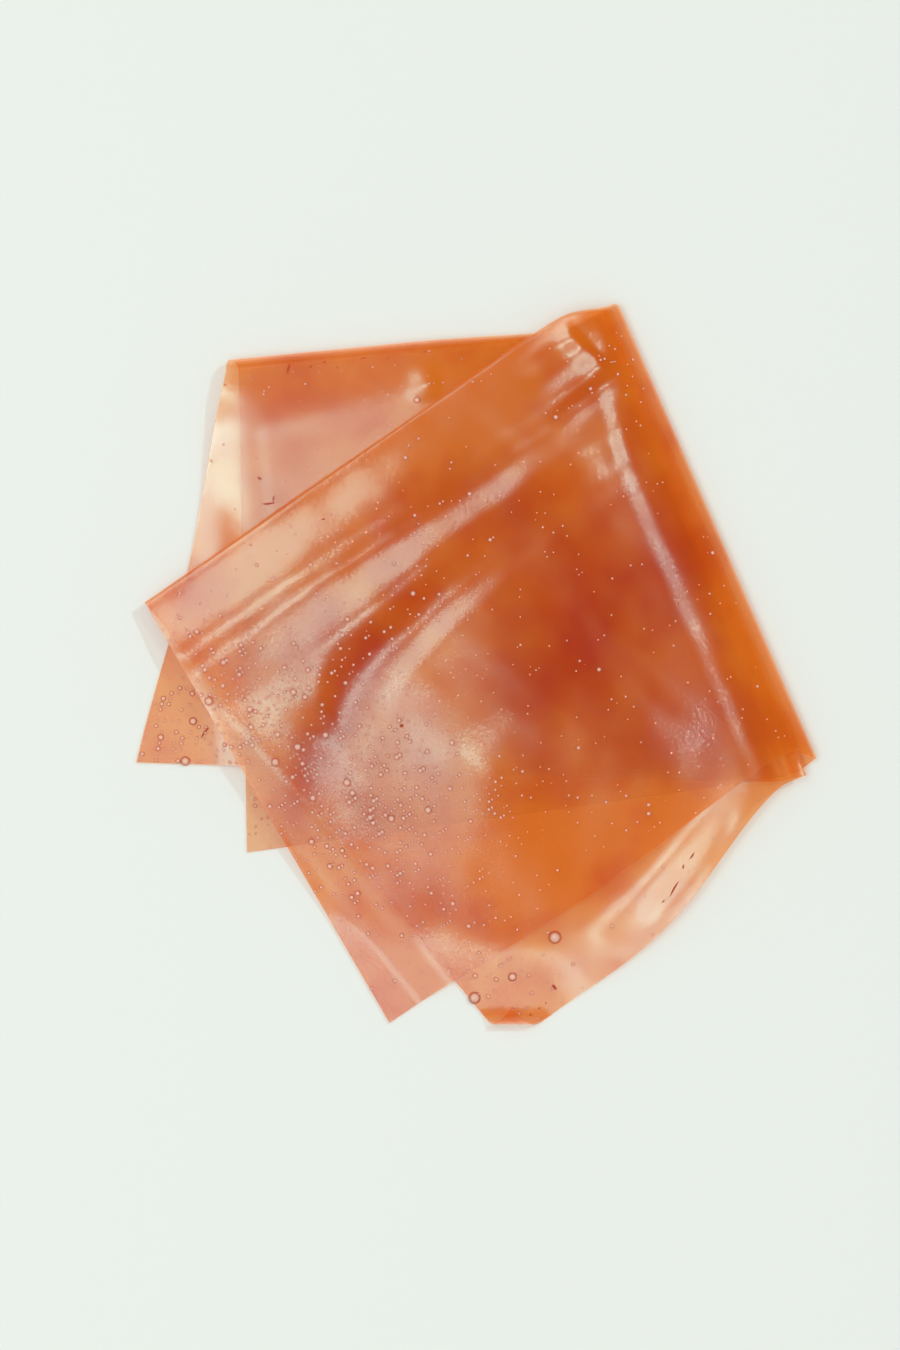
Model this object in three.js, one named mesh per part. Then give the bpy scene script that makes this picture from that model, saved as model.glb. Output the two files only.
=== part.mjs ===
// A thin sheet of fruit leather, cut square and folded twice, so that it lies in four layers.
// Millimetres, +Z up. The sheet lies on z = 0 and the origin is at the middle of its foot.
//
// The first fold joins two halves of the sheet. The outer half is the top layer and the bottom
// layer, the inner half is the two layers between them. The second fold is the long round one on
// the right, where both halves turn under.

import * as THREE from "three";

// ---- Driving dimensions ----------------------------------------------------------------------

const THICKNESS = 0.5;
const LAYER_STEP = 1.0; // from the middle of one layer to the middle of the next

const point = (x, y) => new THREE.Vector2(x, y);

// The second fold's outline, seen from above, from the first fold down to the free edges
const FOLD_TOP = point(32.8, 81.8);
const FOLD_FOOT = point(78.0, -21.8);
const INNER_FOLD_TOP = point(30.6, 80.6);
const INNER_FOLD_FOOT = point(75.6, -25.7);
const INNER_FOLD_BOW = 1.1;

// Where each edge bends as it comes off the round fold
const UPPER_CREASE_KNEE = point(21.2, 80.3);
const LOWER_CREASE_KNEE = point(19.3, 75.2);
const TOP_LAYER_KNEE = point(72.4, -19.1);
const BOTTOM_LAYER_KNEE = point(74.0, -25.6);
const SECOND_LAYER_KNEE = point(70.2, -27.6);
const THIRD_LAYER_KNEE = point(70.0, -27.4);
const KNEE_SOFTNESS = 0.025; // as a share of the edge

// The far corners of the four layers
const UPPER_CREASE_END = point(-75.7, 13.5);
const THIRD_CREASE_END = point(-57.4, 67.3);
const BOTTOM_CREASE_END = point(-54.6, 67.2);
const TOP_LAYER_CORNER = point(-19.9, -82.6);
const SECOND_LAYER_CORNER = point(4.8, -87.2);
const THIRD_LAYER_CORNER = point(-78.1, -22.7);
const BOTTOM_LAYER_CORNER = point(-52.7, -43.4);

// How far an edge stands out from a straight line, half-way along it
const TOP_LAYER_BOW = 2.0;
const SECOND_LAYER_BOW = 5.0;
const THIRD_LAYER_END_BOW = -1.6;

// Height of the upper layers along the first fold, which rises from its open end
const CREASE_END_HEIGHT = 4.0;
const CREASE_HEIGHT = 5.5;
const CREASE_RISE_LENGTH = 45;

// The swell and the two waves beside the first fold. Each span gives the distances out from the
// fold over which the sheet climbs. The waves are lower at the open end, and the second one bends
// away from the fold there
const SWELL_HEIGHT = 1.5;
const SWELL_SPAN = [0, 15];
const WAVE_HEIGHT = 1.1;
const FIRST_WAVE_SPAN = [20, 28];
const SECOND_WAVE_SPAN = [34, 42];
const END_WAVE_SHARE = 0.25;
const WAVE_BEND = 17;
const WAVE_BEND_START = 20;
const WAVE_BEND_LENGTH = 18;

// The ridge beside the round fold: its middle and half width are distances in from that fold
const RIDGE_HEIGHT = 1.3;
const RIDGE_MIDDLE = 14;
const RIDGE_HALF_WIDTH = 11;
const RIDGE_RISE_SPAN = [15, 50];

// The upper layers fall a little all the way, and sink at their free corners
const UPPER_SLOPE = 0.02;
const CORNER_DROP = 4.1;
const CORNER_DROP_SPAN = [45, 112];
const CORNER_DROP_SLANT = 0.35;
const GROUND_CLEARANCE = 0.35;
const HEIGHT_SOFTNESS = 0.3;

// Past the second layer's cut end the top layer comes down by one step over this span
const END_STEP_SPAN = [0.5, 10];

// The third layer stands open at the far end of the lower crease and closes towards the round
// fold. The span gives shares of the crease's length
const OPEN_HEIGHT = 4.0;
const CLOSED_HEIGHT = 1.9;
const OPENING_SPAN = [-0.1, 0.8];
const OPEN_LENGTH = 15;
const TOUCH_DOWN = 73;

// Where it climbs on to the bottom layer: distances outside that layer's corner
const CLIMB_START = 15;
const CLIMB_END = 4;

// Each round turn of the second fold, at the first fold and at the free edges: the height of its
// outermost line, and how far it reaches in before the layer lies straight
const OUTER_WAIST = [2.7, 3.2];
const TOP_ROUND = [7, 15];
const BOTTOM_ROUND = [6, 9];
const INNER_WAIST = [3.2, 4.0];
const SECOND_ROUND = [4, 12];
const THIRD_ROUND = [3, 7];

// The second layer's corner curls up about this line, in a small roll
const CURL_START = -80.2;
const CURL_RADIUS = 2.4;

// Number of steps along and across the sheet
const UPPER_STEPS = 20;
const UPPER_BEND_STEPS = 7;
const LOWER_BEND_STEPS = 5;
const LOWER_STEPS = 14;
const CREASE_STEPS = 5;
const HALF_STEPS = 18;
const ROW_CROWDING = 0.3; // how much closer together the rows lie beside the first fold

// ---- Plan of the layers ----------------------------------------------------------------------

const { lerp, smoothstep } = THREE.MathUtils;

// An edge from a to b as a function of its share t, standing out to the right by bow
function edge(a, b, bow = 0) {
  const right = point(b.y - a.y, a.x - b.x).normalize();
  return (t) => a.clone().lerp(b, t).addScaledVector(right, bow * Math.sin(Math.PI * t) ** 2);
}

// An edge that leaves the round fold at a, bends softly at the knee and runs on to b
function bentEdge(a, knee, b, bow = 0) {
  const kneeShare = a.distanceTo(knee) / (a.distanceTo(knee) + knee.distanceTo(b));
  const first = edge(a, knee);
  const second = edge(knee, b, bow);
  return (t) => {
    const past = t - kneeShare;
    const onSecond = (past + Math.hypot(past, KNEE_SOFTNESS)) / 2;
    const onFirst = t - onSecond;
    const along = second(onSecond / (1 - kneeShare)).sub(knee);
    return first(onFirst / kneeShare).add(along);
  };
}

// A layer's plan between its four edges: r runs from the round fold to the far end, and q from
// the first fold to the free edge
function layerPlan(fold, end, crease, free) {
  return (r, q) => {
    const across = crease(r).lerp(free(r), q);
    const along = fold(q).lerp(end(q), r);
    const corners = crease(0).lerp(free(0), q).lerp(crease(1).lerp(free(1), q), r);
    return across.add(along).sub(corners);
  };
}

const outerFold = edge(FOLD_TOP, FOLD_FOOT);
const innerFold = edge(INNER_FOLD_TOP, INNER_FOLD_FOOT, -INNER_FOLD_BOW);

const topLayer = layerPlan(
  outerFold,
  edge(UPPER_CREASE_END, TOP_LAYER_CORNER),
  bentEdge(FOLD_TOP, UPPER_CREASE_KNEE, UPPER_CREASE_END),
  bentEdge(FOLD_FOOT, TOP_LAYER_KNEE, TOP_LAYER_CORNER, -TOP_LAYER_BOW),
);
const secondLayer = layerPlan(
  innerFold,
  edge(UPPER_CREASE_END, SECOND_LAYER_CORNER),
  bentEdge(INNER_FOLD_TOP, UPPER_CREASE_KNEE, UPPER_CREASE_END),
  bentEdge(INNER_FOLD_FOOT, SECOND_LAYER_KNEE, SECOND_LAYER_CORNER, -SECOND_LAYER_BOW),
);
const thirdLayer = layerPlan(
  innerFold,
  edge(THIRD_CREASE_END, THIRD_LAYER_CORNER, THIRD_LAYER_END_BOW),
  bentEdge(INNER_FOLD_TOP, LOWER_CREASE_KNEE, THIRD_CREASE_END),
  bentEdge(INNER_FOLD_FOOT, THIRD_LAYER_KNEE, THIRD_LAYER_CORNER),
);
const bottomLayer = layerPlan(
  outerFold,
  edge(BOTTOM_CREASE_END, BOTTOM_LAYER_CORNER),
  bentEdge(FOLD_TOP, LOWER_CREASE_KNEE, BOTTOM_CREASE_END),
  bentEdge(FOLD_FOOT, BOTTOM_LAYER_KNEE, BOTTOM_LAYER_CORNER),
);

// ---- Heights of the layers -------------------------------------------------------------------

// Distances of a plan point from the end of the upper crease: along it, and out from it
const creaseAlong = UPPER_CREASE_KNEE.clone().sub(UPPER_CREASE_END).normalize();
const creaseOut = point(creaseAlong.y, -creaseAlong.x);
function fromUpperCrease(p) {
  const offset = p.clone().sub(UPPER_CREASE_END);
  return { along: offset.dot(creaseAlong), out: offset.dot(creaseOut) };
}

// Distance of a plan point in from the round fold
const foldAlong = FOLD_FOOT.clone().sub(FOLD_TOP).normalize();
const foldInward = point(foldAlong.y, -foldAlong.x);
const fromFold = (p) => p.clone().sub(FOLD_FOOT).dot(foldInward);

// Distance of a plan point in from the lower crease, and its share of the way along it
const lowerAlong = THIRD_CREASE_END.clone().sub(LOWER_CREASE_KNEE);
const lowerOut = point(-lowerAlong.y, lowerAlong.x).normalize();
function fromLowerCrease(p) {
  const offset = p.clone().sub(LOWER_CREASE_KNEE);
  return { share: offset.dot(lowerAlong) / lowerAlong.lengthSq(), out: offset.dot(lowerOut) };
}

// Distance of a plan point beyond the second layer's cut end
const secondEnd = SECOND_LAYER_CORNER.clone().sub(UPPER_CREASE_END).normalize();
const secondEndOut = point(secondEnd.y, -secondEnd.x);
const beyondSecond = (p) => p.clone().sub(UPPER_CREASE_END).dot(secondEndOut);

// The larger of two heights, with a soft change from one to the other
const softMax = (a, b, softness) => (a + b + Math.hypot(a - b, softness)) / 2;

// The upper layers swell behind their first fold, climb two long waves, stand highest in a ridge
// beside the round fold and sink to the ground at their free corners
function secondHeight(p) {
  const { along, out } = fromUpperCrease(p);
  const risen = smoothstep(along, 0, CREASE_RISE_LENGTH);
  const crease = lerp(CREASE_END_HEIGHT, CREASE_HEIGHT, risen);

  const bend = WAVE_BEND * Math.exp(-Math.max(along - WAVE_BEND_START, 0) / WAVE_BEND_LENGTH);
  const swell = SWELL_HEIGHT * smoothstep(out, ...SWELL_SPAN);
  const firstWave = WAVE_HEIGHT * smoothstep(out, ...FIRST_WAVE_SPAN);
  const secondWave = WAVE_HEIGHT * smoothstep(out - bend, ...SECOND_WAVE_SPAN);
  const waves = (swell + firstWave + secondWave) * lerp(END_WAVE_SHARE, 1, risen);

  const fromRidge = (fromFold(p) - RIDGE_MIDDLE) / RIDGE_HALF_WIDTH;
  const ridge = RIDGE_HEIGHT * Math.exp(-(fromRidge ** 2)) * smoothstep(out, ...RIDGE_RISE_SPAN);

  const slant = CORNER_DROP_SLANT * along;
  const drop = UPPER_SLOPE * out + CORNER_DROP * smoothstep(out - slant, ...CORNER_DROP_SPAN);
  const height = crease + waves + ridge - drop - LAYER_STEP;
  return softMax(height, GROUND_CLEARANCE, HEIGHT_SOFTNESS);
}

// The top layer lies on the second one, and sinks to the ground past its cut end
function topHeight(p) {
  return secondHeight(p) + LAYER_STEP * (1 - smoothstep(beyondSecond(p), ...END_STEP_SPAN));
}

const bottomHeight = () => THICKNESS / 2;

// The third layer comes down from the open crease, on to the bottom layer or past it on to the
// ground
function thirdHeight(p) {
  const { share, out } = fromLowerCrease(p);
  const open = lerp(CLOSED_HEIGHT, OPEN_HEIGHT, smoothstep(share, ...OPENING_SPAN));
  const falling = open * (1 - Math.max(out - OPEN_LENGTH, 0) / (TOUCH_DOWN - OPEN_LENGTH));
  const corner = BOTTOM_LAYER_CORNER.x;
  const climbed = smoothstep(p.x, corner - CLIMB_START, corner - CLIMB_END);
  const lying = lerp(GROUND_CLEARANCE, bottomHeight() + LAYER_STEP, climbed);
  return softMax(falling, lying, HEIGHT_SOFTNESS);
}

// ---- The folded surface ----------------------------------------------------------------------

const BEND_SHARE = 0.25; // of |u|, given to the round fold

// The middle surface of one half: u runs from 1 at the upper end, over 0 at the round fold's
// outline, to -1 at the lower end
function halfSurface({ upper, lower, upperHeight, lowerHeight, waist, upperRound, lowerRound }) {
  return (u, q) => {
    const plan = u >= 0 ? upper : lower;
    const height = u >= 0 ? upperHeight : lowerHeight;
    const round = lerp(...(u >= 0 ? upperRound : lowerRound), q);
    const reach = plan(1, q).distanceTo(plan(0, q));
    const share = Math.abs(u);
    const turn = (Math.min(share / BEND_SHARE, 1) * Math.PI) / 2;
    const straight = Math.max((share - BEND_SHARE) / (1 - BEND_SHARE), 0);
    const inward = round * (1 - Math.cos(turn)) + (reach - round) * straight;
    const p = plan(inward / reach, q);
    return new THREE.Vector3(p.x, p.y, lerp(lerp(...waist, q), height(p), Math.sin(turn)));
  };
}

const outerHalf = halfSurface({
  upper: topLayer,
  lower: bottomLayer,
  upperHeight: topHeight,
  lowerHeight: bottomHeight,
  waist: OUTER_WAIST,
  upperRound: TOP_ROUND,
  lowerRound: BOTTOM_ROUND,
});
const innerSheet = halfSurface({
  upper: secondLayer,
  lower: thirdLayer,
  upperHeight: secondHeight,
  lowerHeight: thirdHeight,
  waist: INNER_WAIST,
  upperRound: SECOND_ROUND,
  lowerRound: THIRD_ROUND,
});

// The free corner of the second layer rolls up past the curl line
function innerHalf(u, q) {
  const p = innerSheet(u, q);
  const past = CURL_START - p.y;
  if (u < 0 || past <= 0) {
    return p;
  }
  const turn = past / CURL_RADIUS;
  const rolled = new THREE.Vector3(p.x, CURL_START - CURL_RADIUS * Math.sin(turn), p.z);
  rolled.z += CURL_RADIUS * (1 - Math.cos(turn));
  return rolled;
}

// The round turn of the first fold, from the outer half at angle 0 to the inner half at pi
function creaseTurn(u, angle) {
  const step = 1e-3;
  const start = outerHalf(u, 0);
  const end = innerHalf(u, 0);
  const middle = start.clone().lerp(end, 0.5);
  const toStart = start.clone().sub(middle);
  const along = outerHalf(u + step, 0).sub(outerHalf(u - step, 0));
  const outward = along.cross(toStart).normalize();
  const sheetwards = outerHalf(u, step).sub(start);
  if (outward.dot(sheetwards) > 0) {
    outward.negate();
  }
  middle.addScaledVector(toStart, Math.cos(angle));
  return middle.addScaledVector(outward, toStart.length() * Math.sin(angle));
}

// ---- The solid -------------------------------------------------------------------------------

const steps = (count, value) => Array.from({ length: count }, (_, i) => value((i + 1) / count));

// Columns run from the upper end to the lower end
const columns = [
  1,
  ...steps(UPPER_STEPS, (t) => lerp(1, BEND_SHARE, t)),
  ...steps(UPPER_BEND_STEPS, (t) => lerp(BEND_SHARE, 0, t)),
  ...steps(LOWER_BEND_STEPS, (t) => -lerp(0, BEND_SHARE, t)),
  ...steps(LOWER_STEPS, (t) => -lerp(BEND_SHARE, 1, t)),
];

// Rows run from the outer half's free edge, over the first fold, to the inner half's free edge.
// The turn ends on the inner half's first row
const fromCrease = (t) => t * (1 - ROW_CROWDING * (1 - t));
const rows = [
  (u) => outerHalf(u, 1),
  ...steps(HALF_STEPS, (t) => (u) => outerHalf(u, fromCrease(1 - t))),
  ...steps(CREASE_STEPS, (t) => (u) => creaseTurn(u, t * Math.PI)),
  ...steps(HALF_STEPS, (t) => (u) => innerHalf(u, fromCrease(t))),
];

// Triangles of a grid of vertices, row after row
function gridTriangles(rowCount, columnCount) {
  const triangles = [];
  for (let row = 0; row + 1 < rowCount; row += 1) {
    for (let column = 0; column + 1 < columnCount; column += 1) {
      const a = row * columnCount + column;
      const b = a + 1;
      const c = a + columnCount;
      const d = c + 1;
      triangles.push([a, b, d], [a, d, c]);
    }
  }
  return triangles;
}

// The outline of that grid as a closed ring of vertices
function gridBorder(rowCount, columnCount) {
  const at = (row, column) => row * columnCount + column;
  const lastRow = rowCount - 1;
  const lastColumn = columnCount - 1;
  const upTo = (count) => Array.from({ length: count }, (_, i) => i);
  return [
    ...upTo(lastColumn).map((column) => at(0, column)),
    ...upTo(lastRow).map((row) => at(row, lastColumn)),
    ...upTo(lastColumn).map((column) => at(lastRow, lastColumn - column)),
    ...upTo(lastRow).map((row) => at(lastRow - row, 0)),
  ];
}

// The middle surface thickened to both sides, with its cut edges closed
function sheetGeometry() {
  const middle = rows.flatMap((row) => columns.map((u) => row(u)));
  const triangles = gridTriangles(rows.length, columns.length);

  const surface = new THREE.BufferGeometry().setFromPoints(middle);
  surface.setIndex(triangles.flat());
  surface.computeVertexNormals();
  const normals = surface.getAttribute("normal");
  const shifted = (side) => middle.map((p, i) => {
    const normal = new THREE.Vector3().fromBufferAttribute(normals, i);
    return p.clone().addScaledVector(normal, (side * THICKNESS) / 2);
  });

  const count = middle.length;
  const faces = [...triangles];
  for (const [a, b, c] of triangles) {
    faces.push([a + count, c + count, b + count]);
  }
  const ring = gridBorder(rows.length, columns.length);
  ring.forEach((a, i) => {
    const b = ring[(i + 1) % ring.length];
    faces.push([a, a + count, b + count], [a, b + count, b]);
  });

  const solid = new THREE.BufferGeometry().setFromPoints([...shifted(1), ...shifted(-1)]);
  solid.setIndex(faces.flat());
  solid.computeVertexNormals();
  return solid;
}

const leather = new THREE.MeshStandardMaterial({ color: 0xcd5f1e, roughness: 0.25, metalness: 0 });
const sheet = new THREE.Mesh(sheetGeometry(), leather);
sheet.name = "fruit_leather";

const object = new THREE.Group();
object.add(sheet);

export default object;
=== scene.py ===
"""Fruit leather: one thin, translucent orange sheet, folded twice into four loose layers.

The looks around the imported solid. Blender 4.5. Plans and heights are worked out in millimetres,
as in the part's source, and turned into metres when a mesh is made. +Z is up.
"""

import math

import bpy
import numpy as np
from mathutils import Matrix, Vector, noise


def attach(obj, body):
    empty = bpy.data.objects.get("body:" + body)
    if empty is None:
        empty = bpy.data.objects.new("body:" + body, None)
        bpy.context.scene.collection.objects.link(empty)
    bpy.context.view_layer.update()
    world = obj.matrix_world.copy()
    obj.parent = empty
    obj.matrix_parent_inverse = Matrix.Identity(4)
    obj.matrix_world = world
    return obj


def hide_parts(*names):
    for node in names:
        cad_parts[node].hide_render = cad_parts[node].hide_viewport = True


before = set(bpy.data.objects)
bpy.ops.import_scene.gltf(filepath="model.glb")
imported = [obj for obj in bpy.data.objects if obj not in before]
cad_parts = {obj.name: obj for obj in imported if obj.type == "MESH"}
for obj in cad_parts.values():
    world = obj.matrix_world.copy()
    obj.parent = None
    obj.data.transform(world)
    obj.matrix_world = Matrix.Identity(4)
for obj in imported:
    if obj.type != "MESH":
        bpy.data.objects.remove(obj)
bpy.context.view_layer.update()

MM = 0.001

# ---- Driving dimensions of the sheet, in millimetres -------------------------------------------
# The plan is the part's, but for the second layer's corner, which curls up further here

THICKNESS = 0.5
LAYER_STEP = 1.0

FOLD_TOP = (32.8, 81.8)
FOLD_FOOT = (78.0, -21.8)
INNER_FOLD_TOP = (30.6, 80.6)
INNER_FOLD_FOOT = (75.6, -25.7)
INNER_FOLD_BOW = 1.1

UPPER_CREASE_KNEE = (21.2, 80.3)
LOWER_CREASE_KNEE = (19.3, 75.2)
TOP_LAYER_KNEE = (72.4, -19.1)
BOTTOM_LAYER_KNEE = (74.0, -25.6)
SECOND_LAYER_KNEE = (70.2, -27.6)
THIRD_LAYER_KNEE = (70.0, -27.4)
KNEE_SOFTNESS = 0.025

UPPER_CREASE_END = (-75.7, 13.5)
THIRD_CREASE_END = (-57.4, 67.3)
BOTTOM_CREASE_END = (-54.6, 67.2)
TOP_LAYER_CORNER = (-19.9, -82.6)
SECOND_LAYER_CORNER = (8.0, -88.6)
THIRD_LAYER_CORNER = (-78.1, -22.7)
BOTTOM_LAYER_CORNER = (-52.7, -43.4)

TOP_LAYER_BOW = 2.0
SECOND_LAYER_BOW = 5.0
THIRD_LAYER_END_BOW = -1.6

# ---- Relief of the second layer, which the top layer follows -----------------------------------
# Names ending in CHANGE, GROWTH or FADE are stretches along the upper crease from its outer end,
# and the spans are stretches out from it, unless a comment says otherwise

CREASE_END_HEIGHT = 4.0
CREASE_HEIGHT = 5.5
CREASE_RISE_LENGTH = 45
UPPER_SLOPE = 0.02
GROUND_CLEARANCE = 0.35
HEIGHT_SOFTNESS = 0.3
# Past the second layer's outer end, the top layer comes down by one step over this stretch
END_STEP_SPAN = (0.5, 10)

SWELL_HEIGHTS = (1.5, 0.5)
SWELL_CHANGE = (55, 90)
SWELL_SPAN = (-1, 14)

FIRST_FALL = -0.35
FIRST_FALL_SPAN = (14, 20)
FIRST_WAVE_HEIGHTS = (0.5, 1.5)
FIRST_WAVE_GROWTH = (5, 45)
FIRST_WAVE_END_SHARE = 0.25
FIRST_WAVE_FADE = (82, 104)
FIRST_WAVE_SPAN = (19.5, 28.5)
# At the outer end the first wave is wider by this much on each side
FIRST_WAVE_WIDENING = 3
WIDENING_FADE = (60, 30)

# At the outer end the second waves lie this much further out, and then less and less
WAVE_BEND = 17
WAVE_BEND_START = 20
WAVE_BEND_LENGTH = 18
SECOND_START_GROWTH = (0, 20)
SECOND_FALLS = (-1.1, -0.45)
SECOND_FALL_CHANGE = (45, 75)
SECOND_FALL_SPAN = (20, 33)
# How far the fall's start and end move out, as shares of the second wave's narrowing
SECOND_FALL_SHIFTS = (1.5, 0.75)
SECOND_WAVE_HEIGHTS = (0.35, 0.7)
SECOND_WAVE_GROWTH = (28, 42)
SECOND_WAVE_LOSS = 0.3
SECOND_WAVE_FADE = (60, 80)
SECOND_WAVE_SPAN = (32, 47)
NARROWING = 4
NARROWING_GROWTH = (25, 50)

# The tilt sets in over its span; the spans of the slopes and of the middle's fall are in x
TILT_SPAN = (36, 75)
WEST_SLOPE_SPAN = (-42, 1)
WEST_SLOPE_HEIGHT = 1.9
EAST_SLOPE_SPAN = (45, 68)
EAST_SLOPE_HEIGHT = 1.2
SLOPE_SOFTNESS = 7
MIDDLE_FALL_SPAN = (-3, 21)
MIDDLE_FALL = 1.3
MIDDLE_SOFTNESS = 5

# The ridge's middle and lines are distances inward from the round fold. The sharp ridge rises
# from the fold over its front's length and falls behind its line over its back's
BROAD_RIDGE_HEIGHT = 0.7
BROAD_RIDGE_MIDDLE = 14
BROAD_RIDGE_HALF_WIDTH = 11
RIDGE_LINES = (7.5, 11.6)
RIDGE_LINE_SPAN = (8, 40)
SHARP_RIDGE_HEIGHTS = (0.40, 0.15)
SHARP_RIDGE_SPAN = (55, 90)
SHARP_RIDGE_BACK = 4
SHARP_RIDGE_FRONT = 7
RIDGE_RISE_SPAN = (4, 30)

RIPPLE_HEIGHT = 0.22
RIPPLE_START = 1.5
RIPPLE_LENGTH = 10
RIPPLE_GROWTH = (98, 108)
RIPPLE_INWARD_SPAN = (4, 10)
RIPPLE_SPAN = (26, 18)

CORNER_DROP = 4.1
CORNER_DROP_SPAN = (40, 112)
CORNER_DROP_SLANT = 0.5

# The short crease near the top corner. It grows and fades in shares of its own length, and its
# spans run across it
DART_START = (21.6, 76.4)
DART_END = (29.2, 68.6)
DART_HEIGHT = 0.45
DART_GROWTH = (-0.25, 0.15)
DART_FADE = (1.3, 0.9)
DART_CLIMB_SPAN = (-5.5, 0)
DART_FALL_SPAN = (1.0, 0)

# The second layer's free edge is lifted. The stretches are in the sheet's own u and q
FREE_EDGE_LIFT = 2.0
LIFT_GROWTH = (0.15, 0.5)
LIFT_FADE = (0.85, 0.55)
LIFT_EDGE_SPAN = (0.9, 1.0)
# Past this y, the second layer's corner curls up
CURL_START = -80.7
CURL_RADIUS = 2.0

# ---- Relief of the third layer -----------------------------------------------------------------
# Names ending in CHANGE or GROWTH are stretches along the lower crease, in shares of it from its
# knee, and the spans are stretches out from it

CLOSED_HEIGHT = 1.9
OPEN_HEIGHT = 4.3
OPENING_GROWTH = (-0.1, 0.45)
OPEN_LENGTHS = (8, 15)
OPEN_LENGTH_CHANGE = (0.35, 1.0)
OPEN_SOFTNESS = 3
TOUCH_DOWN = 62
END_SINKING = 0.3
SINKING_GROWTH = (0.3, 1.0)
SINKING_SPAN = (5, 26)
END_DROOP = 2.4
DROOP_GROWTH = (0.9, 1.18)
DROOP_SPAN = (2, 14)
# How far in x before the bottom layer's corner it climbs onto that layer. The corner is taken
# further right by the shift, over this stretch of y
CLIMB_START = 15
CLIMB_END = 4
CLIMB_SHIFT = 5
CLIMB_SHIFT_SPAN = (2, -8)

BUCKLE = (-10.8, 64.5)
BUCKLE_HEIGHT = 0.5
BUCKLE_BEFORE = 6
BUCKLE_BEYOND = 3
BUCKLE_HALF_LENGTH = 5.5

# ---- Rounding of the round fold ----------------------------------------------------------------
# Each pair is at the crease and at the free edge: the height where two layers meet, and how far
# in a layer is round

OUTER_WAIST = (2.7, 3.2)
TOP_ROUND = (7, 15)
BOTTOM_ROUND = (6, 9)
INNER_WAIST = (3.2, 4.0)
SECOND_ROUND = (4, 12)
THIRD_ROUND = (3, 7)
# The share of u that goes to the rounding
BEND_SHARE = 0.25

# ---- Slight waves and mesh steps ---------------------------------------------------------------

# Length, depth and heading of the slight waves all over the upper layers
UNEVEN_WAVES = (
    (31.0, 0.040, 0.4),
    (19.0, 0.020, 2.3),
    (13.0, 0.013, 1.2),
    (9.1, 0.009, 2.9),
    (7.3, 0.007, 0.9),
    (5.6, 0.005, 1.9),
)
# Each wave's phase is its heading times this
UNEVEN_PHASE = 5

# Steps of the visible mesh, much finer than the solid's
UPPER_STEPS = 130
UPPER_BEND_STEPS = 24
LOWER_BEND_STEPS = 16
LOWER_STEPS = 86
CREASE_STEPS = 10
HALF_STEPS = 88
ROW_CROWDING = 0.3


# ---- Plan of the layers ------------------------------------------------------------------------

def unit(vector):
    return np.asarray(vector, float) / np.linalg.norm(vector)


def lerp(a, b, t):
    return a + (b - a) * t


def smoothstep(x, low, high):
    t = np.clip((x - low) / (high - low), 0, 1)
    return t * t * (3 - 2 * t)


def fade(x, span, values=(0, 1)):
    """From the first value to the second, smoothly, as x crosses the span."""
    return lerp(*values, smoothstep(x, *span))


def soft_max(a, b, softness):
    return (a + b + np.hypot(a - b, softness)) / 2


def soft_ramp(x, low, high, softness):
    """From 0 below low to 1 above high, straight between and rounded at both ends."""
    return (np.hypot(x - low, softness) - np.hypot(x - high, softness)) / (high - low) / 2 + 0.5


def edge(a, b, bow=0.0):
    """The points of a line from a to b that stands out to its right by bow."""
    a, b = np.array(a, float), np.array(b, float)
    right = unit((b[1] - a[1], a[0] - b[0]))

    def at(t):
        t = np.asarray(t, float)[..., None]
        return lerp(a, b, t) + right * bow * np.sin(np.pi * t) ** 2

    return at


def bent_edge(a, knee, b, bow=0.0):
    """A line that leaves the round fold at a, bends softly at the knee and runs on to b."""
    reach = math.dist(a, knee)
    knee_share = reach / (reach + math.dist(knee, b))
    first, second = edge(a, knee), edge(knee, b, bow)

    def at(t):
        past = t - knee_share
        on_second = (past + np.hypot(past, KNEE_SOFTNESS)) / 2
        on_first = t - on_second
        return first(on_first / knee_share) + second(on_second / (1 - knee_share)) - knee

    return at


def layer_plan(fold, end, crease, free):
    """A layer's plan between its edges: r from the round fold out, q from the crease out."""

    def at(r, q):
        zero, one = np.zeros_like(r), np.ones_like(r)
        r_, q_ = r[..., None], q[..., None]
        across = lerp(crease(r), free(r), q_)
        along = lerp(fold(q), end(q), r_)
        near = lerp(crease(zero), free(zero), q_)
        far = lerp(crease(one), free(one), q_)
        return across + along - lerp(near, far, r_)

    return at


outer_fold = edge(FOLD_TOP, FOLD_FOOT)
inner_fold = edge(INNER_FOLD_TOP, INNER_FOLD_FOOT, -INNER_FOLD_BOW)
top_layer = layer_plan(
    outer_fold,
    edge(UPPER_CREASE_END, TOP_LAYER_CORNER),
    bent_edge(FOLD_TOP, UPPER_CREASE_KNEE, UPPER_CREASE_END),
    bent_edge(FOLD_FOOT, TOP_LAYER_KNEE, TOP_LAYER_CORNER, -TOP_LAYER_BOW),
)
second_layer = layer_plan(
    inner_fold,
    edge(UPPER_CREASE_END, SECOND_LAYER_CORNER),
    bent_edge(INNER_FOLD_TOP, UPPER_CREASE_KNEE, UPPER_CREASE_END),
    bent_edge(INNER_FOLD_FOOT, SECOND_LAYER_KNEE, SECOND_LAYER_CORNER, -SECOND_LAYER_BOW),
)
third_layer = layer_plan(
    inner_fold,
    edge(THIRD_CREASE_END, THIRD_LAYER_CORNER, THIRD_LAYER_END_BOW),
    bent_edge(INNER_FOLD_TOP, LOWER_CREASE_KNEE, THIRD_CREASE_END),
    bent_edge(INNER_FOLD_FOOT, THIRD_LAYER_KNEE, THIRD_LAYER_CORNER),
)
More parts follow.
